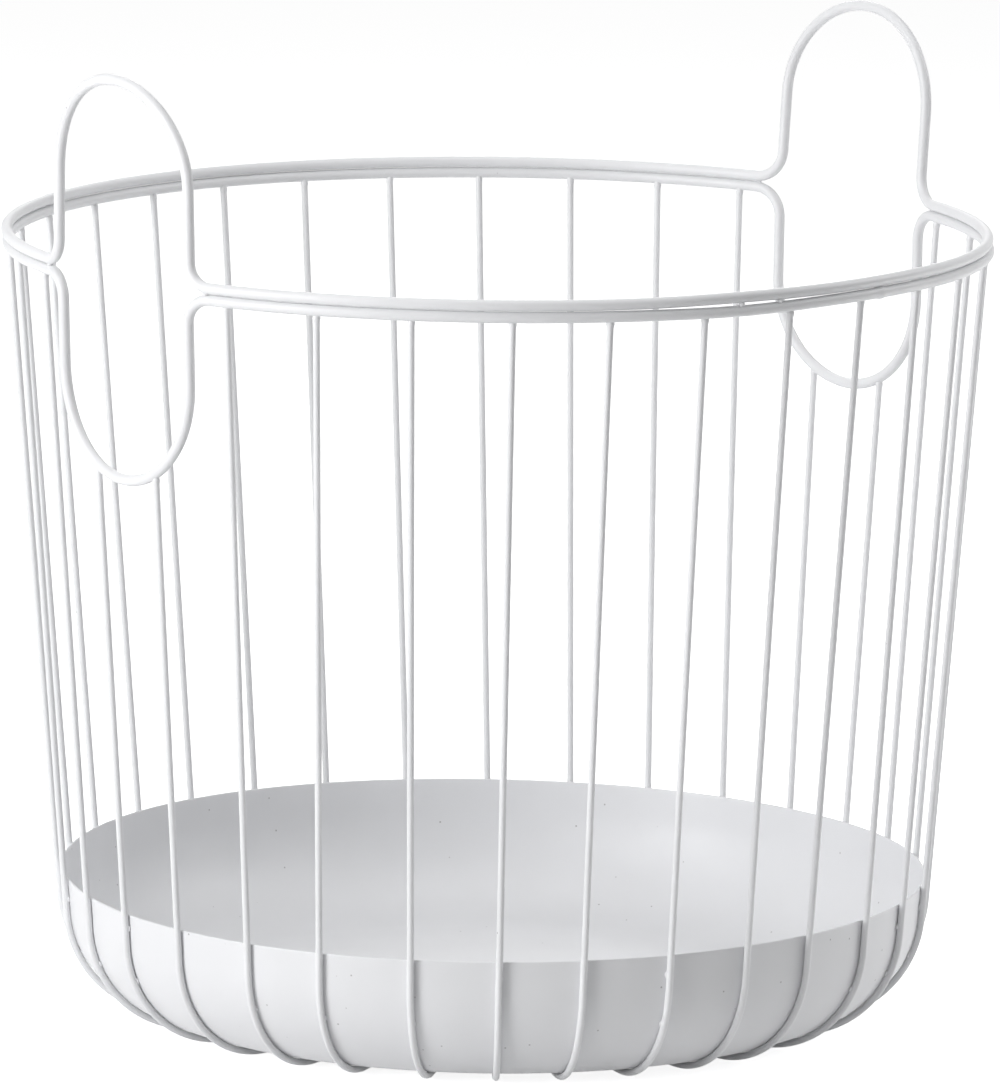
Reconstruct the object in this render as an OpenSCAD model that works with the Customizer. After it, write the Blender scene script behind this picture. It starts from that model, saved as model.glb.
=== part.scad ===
/* [Rims] */
// Outside diameter of the two stacked rim hoops
rim_d = 400; // [300:1:500]
// Thickness of the wire that both rims are bent from
rim_wire_d = 4.5; // [3.5:0.1:6]
// Height of the basket from the ground to the top of its upper rim
basket_h = 323; // [260:1:420]
// Space that a weld fills between two pieces
weld_gap = 0.1; // [0.05:0.05:0.3]

/* [Handle loops] */
// Width of a loop, between the middles of its two legs
loop_w = 81; // [60:1:110]
// Straight length of each leg of a loop
loop_leg = 24.5; // [10:0.5:45]
// Radius of the bend that turns the rim into a leg
loop_bend_r = 12; // [8:0.5:20]
// How far the upper loops lean outwards, in degrees
upper_lean = 3.8; // [0:0.1:10]
// How far the lower loops lean inwards, in degrees
lower_lean = 0.7; // [0:0.1:2.2]

/* [Ribs] */
// Thickness of the wire that the ribs are bent from
rib_wire_d = 2.8; // [2:0.1:4]
// Number of ribs on each side, between the two loops
side_ribs = 14; // [8:1:20]
// Distance along the rim from a loop's bend to the first rib beside it
rib_from_bend = 5.5; // [3:0.5:12]
// Distance between the two ribs that hang under a loop
loop_rib_spacing = 38.2; // [20:0.2:44]
// Straight length of each rib's foot under the tray floor
rib_foot = 32; // [15:1:60]
// Turn of the cage at its foot against its rim, in degrees
cage_twist = 1.2; // [-3:0.1:3]

/* [Tray] */
// Outside diameter of the tray at its lip
tray_d = 353.5; // [290:0.5:400]
// Height of the tray from the underside of its floor to its lip
tray_h = 55; // [50:1:90]
// Outside radius of the round corner between wall and floor
tray_corner_r = 46; // [15:1:48]
// Thickness of the tray's sheet
tray_sheet = 1; // [0.6:0.1:2]

/* [Hidden] */
RIB_COUNT = 2 * (side_ribs + 2);
function two_digits(n) = str(n < 10 ? "0" : "", n);
function rib_name(k) = str("rib_", two_digits(k + 1));

wire_white = [0.94, 0.94, 0.95];
tray_white = [0.89, 0.89, 0.90];

// Flats round a wire, round a bend in it, and round the whole basket
wire_fn = 40;
bend_fn = 96;
hoop_fn = 240;

// Flats along the tray's corner and over the edge of its lip
corner_steps = 24;
lip_steps = 6;

// Length of the ring where two lengths of wire meet, and how far it stands proud of them
joint_l = 0.4;
joint_step = 0.01;

rim_wire_r = rim_wire_d / 2;
rib_wire_r = rib_wire_d / 2;
tray_r = tray_d / 2;

// Radius of the circle on which the rim wires run
rim_r = rim_d / 2 - rim_wire_r;
upper_rim_z = basket_h - rim_wire_r;
lower_rim_z = upper_rim_z - rim_wire_d - weld_gap;

// The rib wires run this far off the tray's outer face
rib_offset = rib_wire_r + weld_gap;
foot_z = rib_wire_r;
floor_z = foot_z + rib_offset;
lip_z = floor_z + tray_h;

function unit(v) = v / norm(v);

// A loop starts where the rim has come this near to the loop's middle, as an angle
loop_angle = asin(loop_w / 2 / norm([rim_r, loop_bend_r])) + atan(loop_bend_r / rim_r);

// A loop's bend starts on the rim, runs along it, and ends in the direction of the leg
bend_start = [rim_r * cos(loop_angle), rim_r * sin(loop_angle), 0];
bend_along = [sin(loop_angle), -cos(loop_angle), 0];
function leg_direction(lean) = [sin(lean), 0, cos(lean)];
function bend_turn(lean) = acos(leg_direction(lean) * bend_along);
function bend_inward(lean) =
    unit(leg_direction(lean) - (leg_direction(lean) * bend_along) * bend_along);
function bend_centre(lean) = bend_start + loop_bend_r * bend_inward(lean);
function leg_foot(lean) = bend_centre(lean)
    + loop_bend_r * (sin(bend_turn(lean)) * bend_along - cos(bend_turn(lean)) * bend_inward(lean));
function leg_top(lean) = leg_foot(lean) + loop_leg * leg_direction(lean);

// Two ribs start from the round end of each lower loop, which is drawn upwards until it is turned over
loop_rib_y = loop_rib_spacing / 2;
loop_arc_r = leg_top(-lower_lean).y;
loop_rib_top = leg_top(-lower_lean)
    + sqrt(pow(loop_arc_r, 2) - pow(loop_rib_y, 2)) * leg_direction(-lower_lean);
loop_rib_x = loop_rib_top.x;
loop_rib_z = lower_rim_z - loop_rib_top.z;

// Ribs are counted round from the first loop, beginning with its own two
first_rib_angle = loop_angle + rib_from_bend / rim_r * 180 / PI;
rib_step = (180 - 2 * first_rib_angle) / (side_ribs - 1);
half_count = side_ribs + 2;
function in_half(k) = k % half_count;
function half_turn(k) = k < half_count ? 0 : 180;
function under_loop(k) = in_half(k) < 2;
function rib_angle(k) = half_turn(k) + (under_loop(k)
    ? (2 * in_half(k) - 1) * atan(loop_rib_y / loop_rib_x)
    : first_rib_angle + (in_half(k) - 2) * rib_step);

// The point of the rim wire's middle line that a rib is welded under
function rib_top_r(k) = under_loop(k) ? norm([loop_rib_x, loop_rib_y]) : rim_r;
function rib_top_z(k) = under_loop(k) ? loop_rib_z : lower_rim_z;

// Each rib lies in one plane, which holds its foot and is tilted to bring its top round by the twist
function top_side(k) = rib_top_r(k) * sin(cage_twist);
function top_rise(k) = rib_top_z(k) - foot_z;
function plane_tilt(k) = atan(top_side(k) / top_rise(k));
function top_in_plane(k) = [rib_top_r(k) * cos(cage_twist), norm([top_rise(k), top_side(k)])];

// The tray's wall slopes as the long ribs do, so that they lie flat against it
long_rib = 2;
lip_to_top = top_in_plane(long_rib) - [tray_r, lip_z - foot_z];
wall_slope = atan(lip_to_top[0] / lip_to_top[1]) - asin(rib_offset / norm(lip_to_top));
corner_z = floor_z + tray_corner_r;
corner_r = tray_r - (lip_z - corner_z) * tan(wall_slope) - tray_corner_r / cos(wall_slope);
wall_l = (lip_z - corner_z) / cos(wall_slope) + tray_corner_r * tan(wall_slope);

// In its plane a rib runs in along its foot, round the tray's corner, and straight up to its top
rib_bend_r = tray_corner_r + rib_offset;
function corner_to_top(k) = top_in_plane(k) - [corner_r, rib_bend_r];
function rib_slope(k) = acos(rib_bend_r / norm(corner_to_top(k)))
    - atan(corner_to_top(k)[1] / corner_to_top(k)[0]);
function upright_l(k) = sqrt(pow(norm(corner_to_top(k)), 2) - pow(rib_bend_r, 2));

// Moves its children to a point, with their x and y directions turned to the ones given
module place(point, x, y) {
    z = cross(x, y);
    multmatrix([
        [x.x, y.x, z.x, point.x],
        [x.y, y.y, z.y, point.y],
        [x.z, y.z, z.z, point.z]
    ]) children();
}

// A bent length of wire, about the z axis, from the x axis round by an angle
module bent_wire(wire_r, bend_r, angle, fn = bend_fn)
    rotate_extrude(angle = angle, $fn = fn)
        translate([bend_r, 0])
            circle(r = wire_r, $fn = wire_fn);

// A straight length of wire along the y axis, starting at a distance out along the x axis
module straight_wire(wire_r, length, out = 0)
    translate([out, 0, 0])
        rotate([-90, 0, 0])
            cylinder(h = length, r = wire_r, $fn = wire_fn);

// A ring a hair thicker than the wire, which makes two lengths of wire that meet end to end one
module joint(wire_r, out, along = 0)
    translate([out, along, 0])
        rotate([90, 0, 0])
            cylinder(h = joint_l, r = wire_r + joint_step, center = true, $fn = wire_fn);

// One bend and one leg of a loop, on its left side
module loop_side(lean) {
    place(bend_centre(lean), -bend_inward(lean), bend_along) {
        bent_wire(rim_wire_r, loop_bend_r, bend_turn(lean));
        joint(rim_wire_r, loop_bend_r);
        rotate([0, 0, bend_turn(lean)]) {
            straight_wire(rim_wire_r, loop_leg, loop_bend_r);
            joint(rim_wire_r, loop_bend_r);
            joint(rim_wire_r, loop_bend_r, loop_leg);
        }
    }
}

// The half circle that closes a loop at its end
module loop_end(lean, wire_r = rim_wire_r)
    place([leg_top(lean).x, 0, leg_top(lean).z], [0, 1, 0], leg_direction(lean))
        bent_wire(wire_r, leg_top(lean).y, 180);

// A closed rim of one wire, with a loop standing up from it at each end
module rim(lean)
    for (turn = [0, 180])
        rotate([0, 0, turn]) {
            rotate([0, 0, loop_angle])
                bent_wire(rim_wire_r, rim_r, 180 - 2 * loop_angle, hoop_fn);
            loop_side(lean);
            mirror([0, 1, 0])
                loop_side(lean);
            loop_end(lean);
        }

module upper_rim()
    color(wire_white)
        translate([0, 0, upper_rim_z])
            rim(upper_lean);

module lower_rim()
    color(wire_white)
        translate([0, 0, lower_rim_z])
            mirror([0, 0, 1])
                rim(-lower_lean);

// The wire that a rib is cut to fit under, thicker by the weld
module rib_seat(k)
    translate([0, 0, lower_rim_z])
        if (under_loop(k))
            rotate([0, 0, half_turn(k)])
                mirror([0, 0, 1])
                    loop_end(-lower_lean, rim_wire_r + weld_gap);
        else
            bent_wire(rim_wire_r + weld_gap, rim_r, 360, hoop_fn);

// A rib in its own plane: x is out from the basket's middle, y is up
module rib_path(k) {
    slope = rib_slope(k);
    translate([corner_r, 0])
        rotate([0, 0, 90])
            straight_wire(rib_wire_r, rib_foot);
    translate([corner_r, rib_bend_r])
        rotate([0, 0, -90]) {
            bent_wire(rib_wire_r, rib_bend_r, 90 - slope);
            joint(rib_wire_r, rib_bend_r);
            rotate([0, 0, 90 - slope]) {
                straight_wire(rib_wire_r, upright_l(k), rib_bend_r);
                joint(rib_wire_r, rib_bend_r);
            }
        }
}

module rib(k)
    color(wire_white)
        difference() {
            rotate([0, 0, rib_angle(k) - cage_twist])
                translate([0, 0, foot_z])
                    rotate([90 - plane_tilt(k), 0, 0])
                        rib_path(k);
            rib_seat(k);
        }

// Points of an arc about the middle of the tray's corner, from one angle to another
function corner_arc(r, from, to) = [for (i = [0 : corner_steps])
    let (angle = from + (to - from) * i / corner_steps)
    [corner_r + r * cos(angle), corner_z + r * sin(angle)]];

// A point on the wall's sheet: how far out from the corner's middle, and how far up the wall
function wall_point(out, up) = [
    corner_r + out * cos(wall_slope) + up * sin(wall_slope),
    corner_z - out * sin(wall_slope) + up * cos(wall_slope)
];

// The round edge of the lip, from the outer face over to the inner one
function lip_edge() = [for (i = [0 : lip_steps])
    let (angle = 180 * i / lip_steps, edge_r = tray_sheet / 2)
    wall_point(tray_corner_r - edge_r + edge_r * cos(angle), wall_l - edge_r + edge_r * sin(angle))];

module tray()
    color(tray_white)
        rotate_extrude($fn = hoop_fn)
            polygon(concat(
                [[0, floor_z]],
                corner_arc(tray_corner_r, -90, -wall_slope),
                lip_edge(),
                corner_arc(tray_corner_r - tray_sheet, -wall_slope, -90),
                [[0, floor_z + tray_sheet]]
            ));

upper_rim();
lower_rim();
tray();
for (k = [0 : RIB_COUNT - 1])
    rib(k);
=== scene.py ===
from collections import namedtuple
from math import acos, asin, atan, atan2, cos, exp, hypot, pi, radians, sin, sqrt, tan

import bpy
from mathutils import Matrix, Vector, noise


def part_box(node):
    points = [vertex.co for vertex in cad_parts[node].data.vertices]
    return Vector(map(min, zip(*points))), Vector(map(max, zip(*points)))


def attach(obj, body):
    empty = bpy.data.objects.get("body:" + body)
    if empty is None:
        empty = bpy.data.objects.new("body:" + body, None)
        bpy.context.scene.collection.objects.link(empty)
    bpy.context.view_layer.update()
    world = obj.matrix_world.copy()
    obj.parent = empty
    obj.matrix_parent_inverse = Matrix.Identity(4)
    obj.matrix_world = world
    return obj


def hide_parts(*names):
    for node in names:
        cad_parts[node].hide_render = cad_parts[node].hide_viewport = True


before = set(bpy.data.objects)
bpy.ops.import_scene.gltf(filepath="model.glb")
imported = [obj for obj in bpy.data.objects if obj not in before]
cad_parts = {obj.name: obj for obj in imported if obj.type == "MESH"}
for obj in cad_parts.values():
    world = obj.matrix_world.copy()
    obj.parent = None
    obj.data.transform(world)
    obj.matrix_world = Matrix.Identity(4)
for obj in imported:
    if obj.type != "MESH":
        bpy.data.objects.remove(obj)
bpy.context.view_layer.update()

# All lengths are in metres and all angles in radians.
MM = 0.001

# Sizes of the basket, the same as those of its CAD model
RIM_WIRE_R = 2.25 * MM
WELD_GAP = 0.1 * MM
LOOP_W = 81 * MM
LOOP_BEND_R = 12 * MM
RIB_WIRE_R = 1.4 * MM
SIDE_RIBS = 14
RIB_FROM_BEND = 5.5 * MM
LOOP_RIB_SPACING = 38.2 * MM
RIB_FOOT = 32 * MM
CAGE_TWIST = radians(1.2)
TRAY_R = 176.75 * MM
TRAY_CORNER_R = 46 * MM
TRAY_SHEET = 1 * MM

# Heights and the rim's size, read off the CAD model's parts
RIM_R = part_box("upper_rim")[1].y - RIM_WIRE_R
UPPER_RIM_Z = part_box("upper_rim")[0].z + RIM_WIRE_R
LOWER_RIM_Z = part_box("lower_rim")[1].z - RIM_WIRE_R
FLOOR_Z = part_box("tray")[0].z
LIP_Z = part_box("tray")[1].z

# The camera, fitted to points measured in the photograph, whose frame is 1000 by 1089 pixels
PHOTO_LONG_SIDE = 1089
FOCAL_PIXELS = 9627
CAMERA_DISTANCE = 3.917
CAMERA_AZIMUTH = radians(-40.9)
CAMERA_ELEVATION = radians(10.333)
CAMERA_ROLL = radians(0.658)
AIM_RIGHT = 2.56 * MM
AIM_Z = 191.5 * MM
SENSOR = 36
CLIP_END = 100

# The fewest steps of an arc and of a straight stretch
LEAST_ARC_STEPS = 4
LEAST_STRAIGHT_STEPS = 2


def unit(x, y, z):
    return Vector((x, y, z)).normalized()


def polar(radius, angle, z):
    """A point at a distance from the basket's axis."""
    return Vector((radius * cos(angle), radius * sin(angle), z))


def arc(centre, first, second, radius, angle, step):
    """Points on an arc that starts at `first` from its centre and turns towards `second`."""
    count = max(LEAST_ARC_STEPS, round(radius * angle / step))
    return [
        centre + radius * (cos(angle * i / count) * first + sin(angle * i / count) * second)
        for i in range(count + 1)
    ]


def straight(start, end, step):
    count = max(LEAST_STRAIGHT_STEPS, round((end - start).length / step))
    return [start.lerp(end, i / count) for i in range(count + 1)]


def joined(*stretches):
    """One list of points from several that each start where the one before ends."""
    points = list(stretches[0])
    for stretch in stretches[1:]:
        points += stretch[1:]
    return points


def turned(points, angle):
    turn = Matrix.Rotation(angle, 3, "Z")
    return [turn @ p for p in points]


# Meshes
def new_mesh(name, vertices, faces):
    mesh = bpy.data.meshes.new(name)
    mesh.from_pydata(vertices, [], faces)
    mesh.validate()
    mesh.polygons.foreach_set("use_smooth", [True] * len(mesh.polygons))
    return mesh


def new_piece(name, mesh, material, replaced=None):
    """A piece of the basket: it rides on the one body, and may stand for a CAD node."""
    piece = bpy.data.objects.new(name, mesh)
    bpy.context.scene.collection.objects.link(piece)
    mesh.materials.append(material)
    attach(piece, "root")
    if replaced:
        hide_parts(replaced)
    return piece


def tangents(points, closed):
    count = len(points)
    found = []
    for i in range(count):
        before = points[(i - 1) % count] if closed or i > 0 else points[i]
        after = points[(i + 1) % count] if closed or i < count - 1 else points[i]
        found.append((after - before).normalized())
    return found


def carried_normals(points, closed):
    """The path's directions, and others square to it that are carried along with little twist."""
    along = tangents(points, closed)
    start = along[0].orthogonal().normalized()
    normals = [start]
    for i in range(1, len(points)):
        normals.append(along[i - 1].rotation_difference(along[i]) @ normals[-1])
    if closed:
        last = along[-1].rotation_difference(along[0]) @ normals[-1]
        gap = atan2(along[0].dot(last.cross(start)), last.dot(start))
        count = len(points)
        normals = [
            Matrix.Rotation(gap * i / count, 3, along[i]) @ n for i, n in enumerate(normals)
        ]
    return along, normals


def swept(name, points, radii, sides, closed=False):
    """A round wire along a path, with a flat cap on each open end."""
    along, normals = carried_normals(points, closed)
    vertices = []
    for p, t, n, r in zip(points, along, normals, radii):
        b = t.cross(n)
        for j in range(sides):
            a = 2 * pi * j / sides
            vertices.append(p + r * (cos(a) * n + sin(a) * b))
    count = len(points)
    faces = []
    for i in range(count if closed else count - 1):
        k = (i + 1) % count
        for j in range(sides):
            m = (j + 1) % sides
            faces.append((i * sides + j, i * sides + m, k * sides + m, k * sides + j))
    if not closed:
        faces.append(tuple(range(sides - 1, -1, -1)))
        faces.append(tuple((count - 1) * sides + j for j in range(sides)))
    return new_mesh(name, vertices, faces)


# Rims. The four loops are bent by hand. Each has its turn from its even place, the width between
# its legs, the radius of the bends where it leaves the hoop, its straight legs, the rise of its
# round end, a lean outwards, a slant sideways, a bulge, which is how much of the hoop's own curve
# it keeps, and a taper, which is the share of its width that it loses in a metre of height.
Loop = namedtuple("Loop", "turn width bend leg rise lean slant bulge taper")
UPPER_LOOPS = (
    Loop(
        turn=radians(-0.1), width=84.3 * MM, bend=LOOP_BEND_R, leg=24.6 * MM, rise=40.4 * MM,
        lean=radians(3.9), slant=0, bulge=0.5, taper=0,
    ),
    Loop(
        turn=radians(0.5), width=80.8 * MM, bend=9 * MM, leg=28.4 * MM, rise=39.2 * MM,
        lean=radians(-0.3), slant=radians(-1.6), bulge=1.05, taper=0.5,
    ),
)
LOWER_LOOPS = (
    Loop(
        turn=radians(0.3), width=84.1 * MM, bend=LOOP_BEND_R, leg=24.7 * MM, rise=40.6 * MM,
        lean=radians(-0.55), slant=0, bulge=0.4, taper=0,
    ),
    Loop(
        turn=radians(0.6), width=77.2 * MM, bend=10 * MM, leg=24.9 * MM, rise=42.7 * MM,
        lean=radians(-3.2), slant=radians(-1.3), bulge=0.6, taper=0,
    ),
)

# The rims are a little out of round: longer along one direction by this share, and shorter across
OVAL_SHARE = 0.003
OVAL_ANGLE = radians(-40)
OVAL_ALONG = Vector((cos(OVAL_ANGLE), sin(OVAL_ANGLE), 0))
OVAL_ACROSS = Vector((-sin(OVAL_ANGLE), cos(OVAL_ANGLE), 0))

# The lower rim is welded on a little to one side of the upper
LOWER_SHIFT = Vector((0.34, -0.29, 0)) * MM

HOOP_STEP = 1.2 * MM
BEND_STEP = 0.8 * MM
LOOP_STEP = 2 * MM
RIM_SIDES = 24


def out_of_round(p):
    along = p.dot(OVAL_ALONG) * OVAL_ALONG
    across = p.dot(OVAL_ACROSS) * OVAL_ACROSS
    return p + OVAL_SHARE * (along - across)


def loop_angle(width, bend):
    """How far round from a loop's middle its bend leaves the hoop, along the hoop's tangent."""
    return asin(width / 2 / hypot(RIM_R, bend)) + atan(bend / RIM_R)


def leg_direction(loop):
    return unit(sin(loop.lean), 0, cos(loop.lean))


def loop_side(loop):
    """The bend and leg of a loop at +X, on its +Y side, for a rim in the plane z = 0."""
    angle = loop_angle(loop.width, loop.bend)
    start = polar(RIM_R, angle, 0)
    heading = unit(sin(angle), -cos(angle), 0)
    leg = leg_direction(loop)
    inward = (leg - leg.dot(heading) * heading).normalized()
    turn = acos(leg.dot(heading))
    bend = arc(start + loop.bend * inward, -inward, heading, loop.bend, turn, BEND_STEP)
    return joined(bend, straight(bend[-1], bend[-1] + loop.leg * leg, LOOP_STEP))


def loop_end_point(loop, top, across):
    """A point on a loop's round end, at a distance across from its middle."""
    half = top.y
    up = loop.rise * sqrt(max(0, 1 - (across / half) ** 2))
    out = loop.bulge * (sqrt(RIM_R**2 - across**2) - sqrt(RIM_R**2 - half**2))
    return Vector((top.x, across, top.z)) + up * leg_direction(loop) + Vector((out, 0, 0))


def slanted(loop, p):
    """A point of a loop, with the loop's slant and taper."""
    return Vector((p.x, p.y * (1 - loop.taper * p.z) + p.z * tan(loop.slant), p.z))


def loop_path(loop):
    """The whole loop at +X, from its -Y side over to its +Y side."""
    side = loop_side(loop)
    top = side[-1]
    count = round(pi * top.y / LOOP_STEP)
    end = [loop_end_point(loop, top, top.y * cos(pi * i / count)) for i in range(count + 1)]
    other = [Vector((p.x, -p.y, p.z)) for p in reversed(side)]
    return [slanted(loop, p) for p in reversed(joined(side, end, other))]


def hoop_path(start, end):
    first, second = polar(1, start, 0), polar(1, start + pi / 2, 0)
    return arc(Vector(), first, second, RIM_R, end - start, HOOP_STEP)


def rim_path(z, loops, down, droop):
    """The closed path of a rim. `droop` says how far the hoop lies under its height at an angle."""
    points = []
    for i, loop in enumerate(loops):
        after = loops[(i + 1) % 2]
        place = pi * i + loop.turn
        points += turned(loop_path(loop)[:-1], place)
        start = place + loop_angle(loop.width, loop.bend)
        end = pi * (i + 1) + after.turn - loop_angle(after.width, after.bend)
        points += hoop_path(start, end)[:-1]
    flip = -1 if down else 1
    off = LOWER_SHIFT if down else Vector()
    level = [Vector((p.x, p.y, z + flip * p.z - droop(atan2(p.y, p.x)))) for p in points]
    return [off + out_of_round(p) for p in level]


def bump(distance, width):
    """A smooth rise to 1 over a distance of 0, gone at about twice the width."""
    return exp(-((distance / width) ** 2))


def angle_between(a, b):
    return abs((a - b + pi) % (2 * pi) - pi)


# Both hoops rise a little at the right of their front
HOOP_RISE = 1 * MM
HOOP_RISE_MIDDLE = radians(280)
HOOP_RISE_HALF = radians(20)

# They part a little beside it, each by its share, and two tacks of weld hold them there
PARTED_MIDDLE = radians(257.4)
PARTED_HALF = radians(8.4)
PARTED_DEPTH = 0.78 * MM
UPPER_PART_SHARE = 0.5
PARTED_TACKS = (radians(257.6), radians(262.6))

# The lower hoop sags a little, unevenly: two waves of these counts round the rim, multiplied
HOOP_WAVE = 0.1 * MM
HOOP_WAVE_COUNTS = (5, 3)
HOOP_WAVE_START = 1


def hoop_rise(angle):
    return HOOP_RISE * bump(angle_between(angle, HOOP_RISE_MIDDLE), HOOP_RISE_HALF)


def parting(angle):
    return PARTED_DEPTH * bump(angle_between(angle, PARTED_MIDDLE), PARTED_HALF)


def upper_droop(angle):
    return -hoop_rise(angle) - UPPER_PART_SHARE * parting(angle)


def lower_droop(angle):
    many, few = HOOP_WAVE_COUNTS
    wave = HOOP_WAVE * (0.5 + 0.5 * sin(many * angle + HOOP_WAVE_START) * sin(few * angle))
    return wave - hoop_rise(angle) + (1 - UPPER_PART_SHARE) * parting(angle)


# The rims' own butt welds, each a low, rough ridge round the wire
UPPER_SEAM = radians(118)
LOWER_SEAM = radians(278.3)
SEAM_WIDTH = 1.9 * MM
SEAM_RISE = 0.3 * MM
SEAM_ROUGH = 0.5
SEAM_GRAIN = 0.9 * MM


def rim_radii(points, z, seam):
    """The rim wire's radius at each point of its path."""
    found = []
    for p in points:
        off_hoop = abs(p.z - z) > 2 * RIM_WIRE_R
        away = RIM_R * angle_between(atan2(p.y, p.x), seam)
        rise = 0 if off_hoop else SEAM_RISE * bump(away, SEAM_WIDTH)
        rough = SEAM_ROUGH * noise.noise(p / SEAM_GRAIN) * rise
        found.append(RIM_WIRE_R + rise + rough)
    return found


def make_rims(material):
    plans = (
        ("upper_rim", UPPER_RIM_Z, UPPER_LOOPS, False, upper_droop, UPPER_SEAM),
        ("lower_rim", LOWER_RIM_Z, LOWER_LOOPS, True, lower_droop, LOWER_SEAM),
    )
    for node, z, loops, down, droop, seam in plans:
        points = rim_path(z, loops, down, droop)
        mesh = swept(node + "_wire", points, rim_radii(points, z, seam), RIM_SIDES, closed=True)
        new_piece(node + "_wire", mesh, material, node)


# Ribs
RIB_OFFSET = RIB_WIRE_R + WELD_GAP
FOOT_Z = RIB_WIRE_R
RIB_BEND_R = TRAY_CORNER_R + RIB_OFFSET
RIB_SIDES = 20
RIB_STEP = 6 * MM
RIB_BEND_STEP = 1.5 * MM
HALF_COUNT = SIDE_RIBS + 2
RIB_COUNT = 2 * HALF_COUNT

LOOP_RIB_Y = LOOP_RIB_SPACING / 2
FIRST_RIB_ANGLE = loop_angle(LOOP_W, LOOP_BEND_R) + RIB_FROM_BEND / RIM_R
RIB_SPACING = (pi - 2 * FIRST_RIB_ANGLE) / (SIDE_RIBS - 1)

# The tray is welded in a little off the rims' axis
TRAY_SHIFT = Vector((1.0, -0.9, 0)) * MM

# How far each rib is off its even place along the rim and along the tray's wall, in millimetres
RIB_SHIFTS = (
    (-0.9, -1.6), (0.8, -0.9), (4.7, -0.3), (4, 0.4),
    (3.3, -0.1), (3.5, 0.7), (2.9, 0.8), (2.2, 1.7),
    (2.4, 1.1), (1.8, 0.5), (1.3, -0.8), (1.4, 0.8),
    (-0.2, -0.5), (-0.1, -0.4), (6, 3.4), (2.8, 2.3),
    (2.1, 0.2), (-0.7, 0.3), (0.6, 1.5), (1.2, -1.8),
    (0.4, 1.5), (0.8, 1.5), (0, -0.3), (-0.1, 0.7),
    (-0.4, 0.6), (-2, -2.3), (-4, 0.8), (-3.9, -0.5),
    (-0.6, -0.2), (0.3, -0.1), (-1.2, -0.6), (-0.7, -0.4),
)

# The ribs are welded under the hoop a little to the inside of its middle
RIB_TOP_IN = 0.5 * MM


def under_loop(k):
    return k % HALF_COUNT < 2


def rib_angle(k):
    """The angle of a rib's even place."""
    half = 0 if k < HALF_COUNT else pi
    if under_loop(k):
        return half + (2 * (k % HALF_COUNT) - 1) * LOOP_RIB_Y / RIM_R
    return half + FIRST_RIB_ANGLE + (k % HALF_COUNT - 2) * RIB_SPACING


def rib_top(k):
    """The point that a rib ends at, inside the lower rim's wire."""
    shift = RIB_SHIFTS[k][0] * MM
    if under_loop(k):
        side = k // HALF_COUNT
        loop = LOWER_LOOPS[side]
        across = (2 * (k % HALF_COUNT) - 1) * LOOP_RIB_Y + shift
        end = slanted(loop, loop_end_point(loop, loop_side(loop)[-1], across))
        p = turned([end], pi * side + loop.turn)[0]
        return LOWER_SHIFT + out_of_round(Vector((p.x, p.y, LOWER_RIM_Z - p.z)))
    angle = rib_angle(k) + shift / RIM_R
    z = LOWER_RIM_Z - lower_droop(angle)
    return LOWER_SHIFT + out_of_round(polar(RIM_R - RIB_TOP_IN, angle, z))


# The tray's wall slopes as the long ribs do
LIP_TO_TOP = Vector((
    RIM_R * cos(CAGE_TWIST) - TRAY_R,
    hypot(LOWER_RIM_Z - FOOT_Z, RIM_R * sin(CAGE_TWIST)) - (LIP_Z - FOOT_Z),
))
WALL_SLOPE = atan(LIP_TO_TOP.x / LIP_TO_TOP.y) - asin(RIB_OFFSET / LIP_TO_TOP.length)
CORNER_Z = FLOOR_Z + TRAY_CORNER_R
CORNER_R = TRAY_R - (LIP_Z - CORNER_Z) * tan(WALL_SLOPE) - TRAY_CORNER_R / cos(WALL_SLOPE)
WALL_L = (LIP_Z - CORNER_Z) / cos(WALL_SLOPE) + TRAY_CORNER_R * tan(WALL_SLOPE)


def rib_path(k):
    """Points along a rib's middle line, from the end of its foot to its top."""
    foot_angle = rib_angle(k) - CAGE_TWIST + RIB_SHIFTS[k][1] * MM / TRAY_R
    top = turned([rib_top(k) - TRAY_SHIFT], -foot_angle)[0]
    tilt = atan(top.y / (top.z - FOOT_Z))
    corner = Vector((CORNER_R, 0, 0))
    middle = Vector((CORNER_R, RIB_BEND_R, 0))
    end = Vector((top.x, hypot(top.z - FOOT_Z, top.y), 0))
    to_end = end - middle
    slope = acos(RIB_BEND_R / to_end.length) - atan(to_end.y / to_end.x)
    down, outward = Vector((0, -1, 0)), Vector((1, 0, 0))
    bend = arc(middle, down, outward, RIB_BEND_R, pi / 2 - slope, RIB_BEND_STEP)
    foot = straight(corner - Vector((RIB_FOOT, 0, 0)), corner, RIB_STEP)
    in_plane = joined(foot, bend, straight(bend[-1], end, RIB_STEP))
    stood = [Vector((p.x, p.y * sin(tilt), p.y * cos(tilt) + FOOT_Z)) for p in in_plane]
    return [p + TRAY_SHIFT for p in turned(stood, foot_angle)]


# Each rib's top is swollen by its weld: a rough collar under the rim, of its own size
COLLAR_STEP = 0.35 * MM
COLLAR_STRETCH = 7 * MM
COLLAR_PLACE = 3.1 * MM
COLLAR_WIDTH = 0.9 * MM
COLLAR_RISE = 0.2 * MM
COLLAR_VARIETY = 0.8
COLLAR_SEED = 3.7
COLLAR_ROUGH = 0.35
COLLAR_GRAIN = 0.6 * MM

# The cut end of a rib's foot is rounded off over this length
FOOT_ROUND = 0.4 * MM


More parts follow.
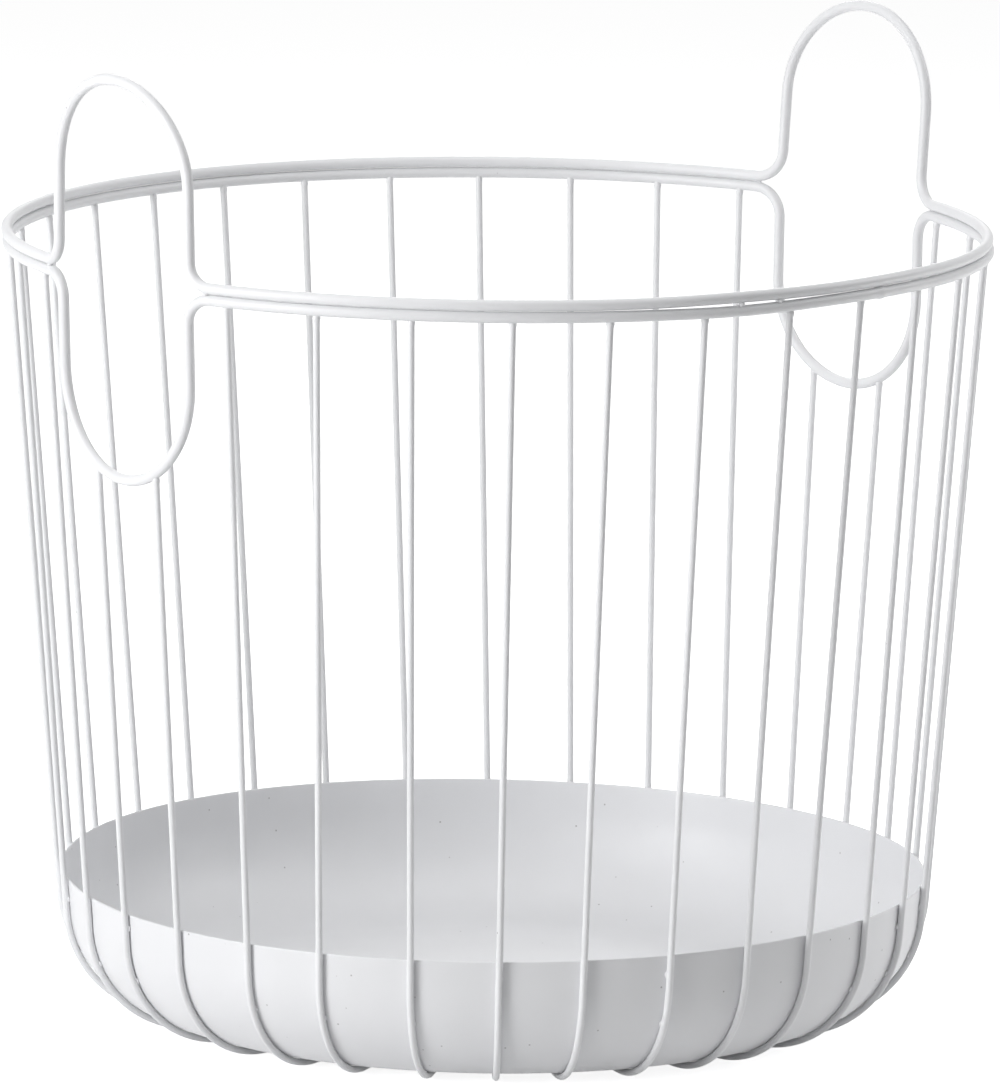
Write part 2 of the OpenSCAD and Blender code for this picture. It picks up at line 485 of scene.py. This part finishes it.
def rib_radii(points, k):
    """The rib's radius at each point: rounded off at its foot, swollen at its weld."""
    own_rise = COLLAR_RISE * (1 + COLLAR_VARIETY * noise.noise(Vector((COLLAR_SEED * k, 0, 0))))
    found = []
    for p in points:
        from_top = (p - points[-1]).length
        from_foot = (p - points[0]).length
        collar = own_rise * bump(from_top - COLLAR_PLACE, COLLAR_WIDTH)
        rough = COLLAR_ROUGH * noise.noise(p / COLLAR_GRAIN) * collar
        rounding = FOOT_ROUND * max(0, 1 - from_foot / FOOT_ROUND) ** 2
        found.append(RIB_WIRE_R + collar + rough - rounding)
    return found


def finer_ends(points):
    """The same path, with a finer step where the radius changes."""
    direction = (points[-1] - points[-2]).normalized()
    stop = points[-1] - COLLAR_STRETCH * direction
    kept = [p for p in points if (p - points[-1]).length > COLLAR_STRETCH + COLLAR_STEP]
    first = points[0].lerp(points[1], FOOT_ROUND / (points[1] - points[0]).length)
    half = points[0].lerp(first, 0.5)
    return [points[0], half, first] + kept[1:] + straight(stop, points[-1], COLLAR_STEP)


def make_ribs(material):
    for k in range(RIB_COUNT):
        node = f"rib_{k + 1:02d}"
        points = finer_ends(rib_path(k))
        radii = rib_radii(points, k)
        mesh = swept(node + "_wire", points, radii, RIB_SIDES)
        new_piece(node + "_wire", mesh, material, node)


# Tray
TRAY_SEGMENTS = 360
CORNER_STEPS = 40
LIP_STEPS = 10
WALL_STEPS = 6
FLOOR_RINGS = 12


def corner_point(r, angle):
    """A point of the tray's profile on its corner: its distance from the axis and its height."""
    return CORNER_R + r * cos(angle), CORNER_Z + r * sin(angle)


def wall_point(out, up):
    """A point of the profile beside its wall: so far out from the corner's middle, and up."""
    x = CORNER_R + out * cos(WALL_SLOPE) + up * sin(WALL_SLOPE)
    z = CORNER_Z - out * sin(WALL_SLOPE) + up * cos(WALL_SLOPE)
    return x, z


def tray_profile():
    """The sheet's outline, from the middle of its underside over the lip to that of its floor."""
    inner_r = TRAY_CORNER_R - TRAY_SHEET
    edge_r = TRAY_SHEET / 2
    wall = WALL_L - edge_r
    rings = [CORNER_R * i / FLOOR_RINGS for i in range(1, FLOOR_RINGS)]
    bends = [(pi / 2 - WALL_SLOPE) * i / CORNER_STEPS for i in range(CORNER_STEPS + 1)]
    rises = [wall * i / WALL_STEPS for i in range(1, WALL_STEPS)]
    under = [(r, FLOOR_Z) for r in rings]
    outer = [corner_point(TRAY_CORNER_R, -pi / 2 + a) for a in bends]
    outer += [wall_point(TRAY_CORNER_R, up) for up in rises]
    lip = []
    for i in range(LIP_STEPS + 1):
        a = pi * i / LIP_STEPS
        lip.append(wall_point(TRAY_CORNER_R - edge_r + edge_r * cos(a), wall + edge_r * sin(a)))
    inner = [wall_point(inner_r, up) for up in reversed(rises)]
    inner += [corner_point(inner_r, -WALL_SLOPE - a) for a in bends]
    floor = [(r, FLOOR_Z + TRAY_SHEET) for r in reversed(rings)]
    return under + outer + lip + inner + floor


# The pressing is a little warped: its lip rises and falls round the tray
LIP_TILT = 0.4 * MM
LIP_TILT_ANGLE = radians(139)
LIP_WARP = 0.8 * MM
LIP_WARP_ANGLE = radians(-68)


def warp(angle, z):
    """How far the tray's warp lifts a point of it."""
    share = max(0, (z - FLOOR_Z) / (LIP_Z - FLOOR_Z)) ** 2
    tilt = LIP_TILT * cos(angle - LIP_TILT_ANGLE)
    return share * (tilt + LIP_WARP * cos(2 * (angle - LIP_WARP_ANGLE)))


def make_tray(material):
    profile = tray_profile()
    vertices = []
    for x, z in profile:
        for j in range(TRAY_SEGMENTS):
            angle = 2 * pi * j / TRAY_SEGMENTS
            vertices.append(TRAY_SHIFT + polar(x, angle, z + warp(angle, z)))
    faces = []
    for i in range(len(profile) - 1):
        for j in range(TRAY_SEGMENTS):
            m = (j + 1) % TRAY_SEGMENTS
            low, high = i * TRAY_SEGMENTS, (i + 1) * TRAY_SEGMENTS
            faces.append((low + j, low + m, high + m, high + j))
    under_middle = len(vertices)
    vertices += [TRAY_SHIFT + Vector((0, 0, z)) for z in (FLOOR_Z, FLOOR_Z + TRAY_SHEET)]
    last = (len(profile) - 1) * TRAY_SEGMENTS
    for j in range(TRAY_SEGMENTS):
        m = (j + 1) % TRAY_SEGMENTS
        faces.append((under_middle, m, j))
        faces.append((under_middle + 1, last + j, last + m))
    mesh = new_mesh("tray_shell", vertices, faces)
    new_piece("tray_shell", mesh, material, "tray")


# Weld: small rough drops between the hoops, and between the ribs and the tray
LUMP_RINGS = 9
LUMP_SIDES = 14
LUMP_ROUGH = 0.3
LUMP_GRAIN = 1.3
LUMP_SEED = 11.3


def lump(centre, axes, halves, seed):
    """The vertices and faces of one drop, with its two poles along the first axis."""
    own = Vector((LUMP_SEED * seed, 0, 0))

    def place(direction):
        rough = 1 + LUMP_ROUGH * noise.noise(LUMP_GRAIN * direction + own)
        parts = (d * h * a for d, h, a in zip(direction, halves, axes))
        return centre + rough * sum(parts, Vector())

    vertices = [place(Vector((-1, 0, 0)))]
    for i in range(1, LUMP_RINGS):
        a = pi * i / LUMP_RINGS
        for j in range(LUMP_SIDES):
            b = 2 * pi * j / LUMP_SIDES
            vertices.append(place(Vector((-cos(a), sin(a) * cos(b), sin(a) * sin(b)))))
    vertices.append(place(Vector((1, 0, 0))))
    last = len(vertices) - 1
    faces = []
    for j in range(LUMP_SIDES):
        m = (j + 1) % LUMP_SIDES
        faces.append((0, 1 + m, 1 + j))
        for i in range(LUMP_RINGS - 2):
            low, high = 1 + i * LUMP_SIDES, 1 + (i + 1) * LUMP_SIDES
            faces.append((low + j, low + m, high + m, high + j))
        low = 1 + (LUMP_RINGS - 2) * LUMP_SIDES
        faces.append((low + j, low + m, last))
    return vertices, faces


def make_lumps(name, lumps, material):
    """One piece of many drops, each given by its middle, its axes and its half sizes along them."""
    vertices = []
    faces = []
    for seed, (centre, axes, halves) in enumerate(lumps):
        own, own_faces = lump(centre, axes, halves, seed)
        faces += [tuple(len(vertices) + i for i in face) for face in own_faces]
        vertices += own
    new_piece(name, new_mesh(name, vertices, faces), material)


TACK_Z = (UPPER_RIM_Z + LOWER_RIM_Z) / 2
TACK_OUT = 0.35 * RIM_WIRE_R
TACK_HALVES = (1.2 * MM, 1.1 * MM, 1.3 * MM)
CROTCH_HALVES = (1.3 * MM, 0.9 * MM, 1.2 * MM)
CROTCH_IN = radians(0.35)


def hoop_tacks():
    """Tacks in the parted stretch, and one in each fork where a loop leaves the hoops."""
    places = []
    for angle in PARTED_TACKS:
        z = TACK_Z - (upper_droop(angle) + lower_droop(angle)) / 2
        places.append((angle, z, TACK_HALVES))
    for side, loops in enumerate(zip(UPPER_LOOPS, LOWER_LOOPS)):
        for way in (-1, 1):
            forks = [way * loop.turn + loop_angle(loop.width, loop.bend) for loop in loops]
            angle = pi * side + way * (max(forks) - CROTCH_IN)
            places.append((angle, TACK_Z, CROTCH_HALVES))
    tacks = []
    for angle, z, halves in places:
        axes = (polar(1, angle + pi / 2, 0), Vector((0, 0, 1)), polar(1, angle, 0))
        centre = out_of_round(polar(RIM_R + TACK_OUT, angle, z)) + LOWER_SHIFT / 2
        tacks.append((centre, axes, halves))
    return tacks


NUGGET_HEIGHTS = (LIP_Z - 7.5 * MM, FLOOR_Z + 27 * MM)
NUGGET_SCATTER = 3 * MM
NUGGET_SEEDS = (5.1, 7.7)
NUGGET_HALVES = (1.3 * MM, 0.55 * MM, 0.65 * MM)
NUGGET_IN = 0.8 * RIB_WIRE_R
NUGGET_BESIDE = 0.72 * RIB_WIRE_R


def tray_nuggets():
    """Two spot welds along each rib, where it lies against the tray's wall."""
    nuggets = []
    for k in range(RIB_COUNT):
        points = rib_path(k)
        for n, height in enumerate(NUGGET_HEIGHTS):
            own = noise.noise(Vector((NUGGET_SEEDS[0] * k, NUGGET_SEEDS[1] * n, 0)))
            z = height + NUGGET_SCATTER * own
            i = next(i for i, p in enumerate(points) if p.z >= z)
            along = (points[i] - points[i - 1]).normalized()
            p = points[i - 1] + (z - points[i - 1].z) / along.z * along
            across = polar(1, atan2(p.y - TRAY_SHIFT.y, p.x - TRAY_SHIFT.x) + pi / 2, 0)
            across = (across - across.dot(along) * along).normalized()
            out = across.cross(along)
            way = 1 if own > 0 else -1
            centre = p - NUGGET_IN * out + way * NUGGET_BESIDE * across
            nuggets.append((centre, (along, out, across), NUGGET_HALVES))
    return nuggets


# Materials: the coat's colour, roughness and number of cells for its specks along a metre
WIRE_COLOUR = (0.795, 0.80, 0.815, 1)
WIRE_ROUGHNESS = 0.42
WIRE_SPECK_SCALE = 60
TRAY_COLOUR = (0.775, 0.78, 0.797, 1)
TRAY_ROUGHNESS = 0.45
TRAY_SPECK_SCALE = 105

# Soft clouds of a darker shade
CLOUD_SCALE = 14
CLOUD_DETAIL = 3
CLOUD_RANGE = (0.35, 0.65)
CLOUD_SHADE = 0.965

# Specks, which fade from their core to their edge
SPECK_EDGE = 0.5 * MM
SPECK_CORE = 0.25 * MM
SPECK_STRENGTH = 0.75
SPECK_COLOUR = (0.30, 0.29, 0.29, 1)

# Uneven gloss, and an orange peel
FINE_DETAIL = 2
GLOSS_SCALE = 60
GLOSS_RANGE = (0.3, 0.7)
GLOSS_SPREAD = 0.04
PEEL_SCALE = 900
PEEL_STRENGTH = 0.35
PEEL_DEPTH = 0.06 * MM

# Where a Mix node of colours has its two colours and its result
MIX_FIRST = 6
MIX_SECOND = 7
MIX_RESULT = 2


def node_tree(material):
    material.use_nodes = True
    return material.node_tree.nodes, material.node_tree.links


def powder_coat(name, colour, roughness, speck_scale):
    """White powder coat: a faint orange peel, uneven gloss, soft clouds and a few specks."""
    material = bpy.data.materials.new(name)
    nodes, links = node_tree(material)
    shader = nodes["Principled BSDF"]
    place = nodes.new("ShaderNodeTexCoord")

    def noise_texture(scale, detail):
        texture = nodes.new("ShaderNodeTexNoise")
        texture.inputs["Scale"].default_value = scale
        texture.inputs["Detail"].default_value = detail
        links.new(place.outputs["Object"], texture.inputs["Vector"])
        return texture.outputs["Fac"]

    def mapped(value, low, high, to_low, to_high):
        node = nodes.new("ShaderNodeMapRange")
        node.inputs["From Min"].default_value = low
        node.inputs["From Max"].default_value = high
        node.inputs["To Min"].default_value = to_low
        node.inputs["To Max"].default_value = to_high
        links.new(value, node.inputs["Value"])
        return node.outputs["Result"]

    def mixed(factor, first, second):
        node = nodes.new("ShaderNodeMix")
        node.data_type = "RGBA"
        links.new(factor, node.inputs["Factor"])
        for place_in_node, value in ((MIX_FIRST, first), (MIX_SECOND, second)):
            if isinstance(value, tuple):
                node.inputs[place_in_node].default_value = value
            else:
                links.new(value, node.inputs[place_in_node])
        return node.outputs[MIX_RESULT]

    clouds = mapped(noise_texture(CLOUD_SCALE, CLOUD_DETAIL), *CLOUD_RANGE, 0, 1)
    darker = tuple(CLOUD_SHADE * c for c in colour[:3]) + (1,)
    body = mixed(clouds, colour, darker)
    specks = nodes.new("ShaderNodeTexVoronoi")
    specks.inputs["Scale"].default_value = speck_scale
    links.new(place.outputs["Object"], specks.inputs["Vector"])
    edge, core = SPECK_EDGE * speck_scale, SPECK_CORE * speck_scale
    speck = mapped(specks.outputs["Distance"], edge, core, 0, SPECK_STRENGTH)
    links.new(mixed(speck, body, SPECK_COLOUR), shader.inputs["Base Color"])
    gloss = noise_texture(GLOSS_SCALE, FINE_DETAIL)
    uneven = mapped(gloss, *GLOSS_RANGE, roughness - GLOSS_SPREAD, roughness + GLOSS_SPREAD)
    links.new(uneven, shader.inputs["Roughness"])
    peel = nodes.new("ShaderNodeBump")
    peel.inputs["Strength"].default_value = PEEL_STRENGTH
    peel.inputs["Distance"].default_value = PEEL_DEPTH
    links.new(noise_texture(PEEL_SCALE, FINE_DETAIL), peel.inputs["Height"])
    links.new(peel.outputs["Normal"], shader.inputs["Normal"])
    return material


def seen_directly(nodes, links):
    """1 for rays from the camera, and for reflections and what is seen through glass; else 0."""
    path = nodes.new("ShaderNodeLightPath")
    found = path.outputs["Is Camera Ray"]
    for kind in ("Is Glossy Ray", "Is Transmission Ray"):
        either = nodes.new("ShaderNodeMath")
        either.operation = "MAXIMUM"
        links.new(found, either.inputs[0])
        links.new(path.outputs[kind], either.inputs[1])
        found = either.outputs[0]
    return found


def camera_only_white(name, colour, glow):
    """A floor that is lit as any other, with a white glow for the camera and reflections alone."""
    material = bpy.data.materials.new(name)
    nodes, links = node_tree(material)
    shader = nodes["Principled BSDF"]
    shader.inputs["Base Color"].default_value = colour
    shader.inputs["Roughness"].default_value = FLOOR_ROUGHNESS
    shader.inputs["Specular IOR Level"].default_value = 0
    strength = nodes.new("ShaderNodeMath")
    strength.operation = "MULTIPLY"
    strength.inputs[1].default_value = glow
    links.new(seen_directly(nodes, links), strength.inputs[0])
    shader.inputs["Emission Color"].default_value = (1, 1, 1, 1)
    links.new(strength.outputs[0], shader.inputs["Emission Strength"])
    return material


# Studio
FLOOR_SIZE = 12
FLOOR_COLOUR = (0.88, 0.88, 0.88, 1)
FLOOR_ROUGHNESS = 0.9
FLOOR_GLOW = 0.85
WORLD_LIGHT = 0.07

# Soft lamps: name, azimuth from the camera, elevation, distance, size, and power in watts
Lamp = namedtuple("Lamp", "name azimuth elevation distance size power")
LAMPS = (
    Lamp("key_low", radians(-55), radians(12), 2.5, 1.15, 31.5),
    Lamp("key_high", radians(-50), radians(38), 2.5, 1.4, 18.2),
    Lamp("right", radians(105), radians(38), 2.2, 1.2, 13.5),
    Lamp("right_low", radians(95), radians(3), 0.7, 0.35, 0.65),
    Lamp("back", radians(180), radians(38), 2.2, 1.2, 7.1),
    Lamp("top", radians(0), radians(89), 2.2, 1.6, 13.7),
)


def make_floor():
    half = FLOOR_SIZE / 2
    corners = [(-half, -half, 0), (half, -half, 0), (half, half, 0), (-half, half, 0)]
    mesh = new_mesh("studio_floor", corners, [(0, 1, 2, 3)])
    mesh.materials.append(camera_only_white("studio_floor", FLOOR_COLOUR, FLOOR_GLOW))
    floor = bpy.data.objects.new("studio_floor", mesh)
    bpy.context.scene.collection.objects.link(floor)


def make_world():
    """Soft light from all round, which the camera and reflections see as white."""
    world = bpy.data.worlds.new("studio")
    bpy.context.scene.world = world
    world.use_nodes = True
    nodes, links = world.node_tree.nodes, world.node_tree.links
    lit = nodes["Background"]
    lit.inputs["Color"].default_value = (1, 1, 1, 1)
    level = nodes.new("ShaderNodeMapRange")
    level.inputs["To Min"].default_value = WORLD_LIGHT
    level.inputs["To Max"].default_value = 1
    links.new(seen_directly(nodes, links), level.inputs["Value"])
    links.new(level.outputs["Result"], lit.inputs["Strength"])


def view_direction(azimuth, elevation):
    """The direction from the basket to a camera or lamp; azimuth 0 is in front, at -Y."""
    return Vector((sin(azimuth) * cos(elevation), -cos(azimuth) * cos(elevation), sin(elevation)))


def make_lights():
    """Lamps placed round the basket and aimed at the height of its tray."""
    for lamp in LAMPS:
        data = bpy.data.lights.new(lamp.name, "AREA")
        data.shape = "DISK"
        data.size = lamp.size
        data.energy = lamp.power
        light = bpy.data.objects.new(lamp.name, data)
        light.visible_camera = False
        bpy.context.scene.collection.objects.link(light)
        back = view_direction(CAMERA_AZIMUTH + lamp.azimuth, lamp.elevation)
        light.location = Vector((0, 0, LIP_Z)) + lamp.distance * back
        light.rotation_mode = "QUATERNION"
        light.rotation_quaternion = back.to_track_quat("Z", "Y")


def make_camera():
    data = bpy.data.cameras.new("camera")
    data.sensor_width = SENSOR
    data.lens = FOCAL_PIXELS * SENSOR / PHOTO_LONG_SIDE
    data.clip_end = CLIP_END
    camera = bpy.data.objects.new("camera", data)
    bpy.context.scene.collection.objects.link(camera)
    back = view_direction(CAMERA_AZIMUTH, CAMERA_ELEVATION)
    right = Vector((cos(CAMERA_AZIMUTH), sin(CAMERA_AZIMUTH), 0))
    up = back.cross(right)
    rolled_right = cos(CAMERA_ROLL) * right + sin(CAMERA_ROLL) * up
    rolled_up = back.cross(rolled_right)
    aim = AIM_RIGHT * right + Vector((0, 0, AIM_Z))
    axes = Matrix((rolled_right, rolled_up, back)).transposed()
    camera.matrix_world = Matrix.Translation(aim + CAMERA_DISTANCE * back) @ axes.to_4x4()
    bpy.context.scene.camera = camera


make_camera()
wire_coat = powder_coat("powder_coat_wire", WIRE_COLOUR, WIRE_ROUGHNESS, WIRE_SPECK_SCALE)
tray_coat = powder_coat("powder_coat_tray", TRAY_COLOUR, TRAY_ROUGHNESS, TRAY_SPECK_SCALE)
make_rims(wire_coat)
make_ribs(wire_coat)
make_tray(tray_coat)
make_lumps("hoop_tacks", hoop_tacks(), wire_coat)
make_lumps("tray_welds", tray_nuggets(), wire_coat)
make_floor()
make_world()
make_lights()
bpy.context.scene.view_settings.view_transform = "Standard"
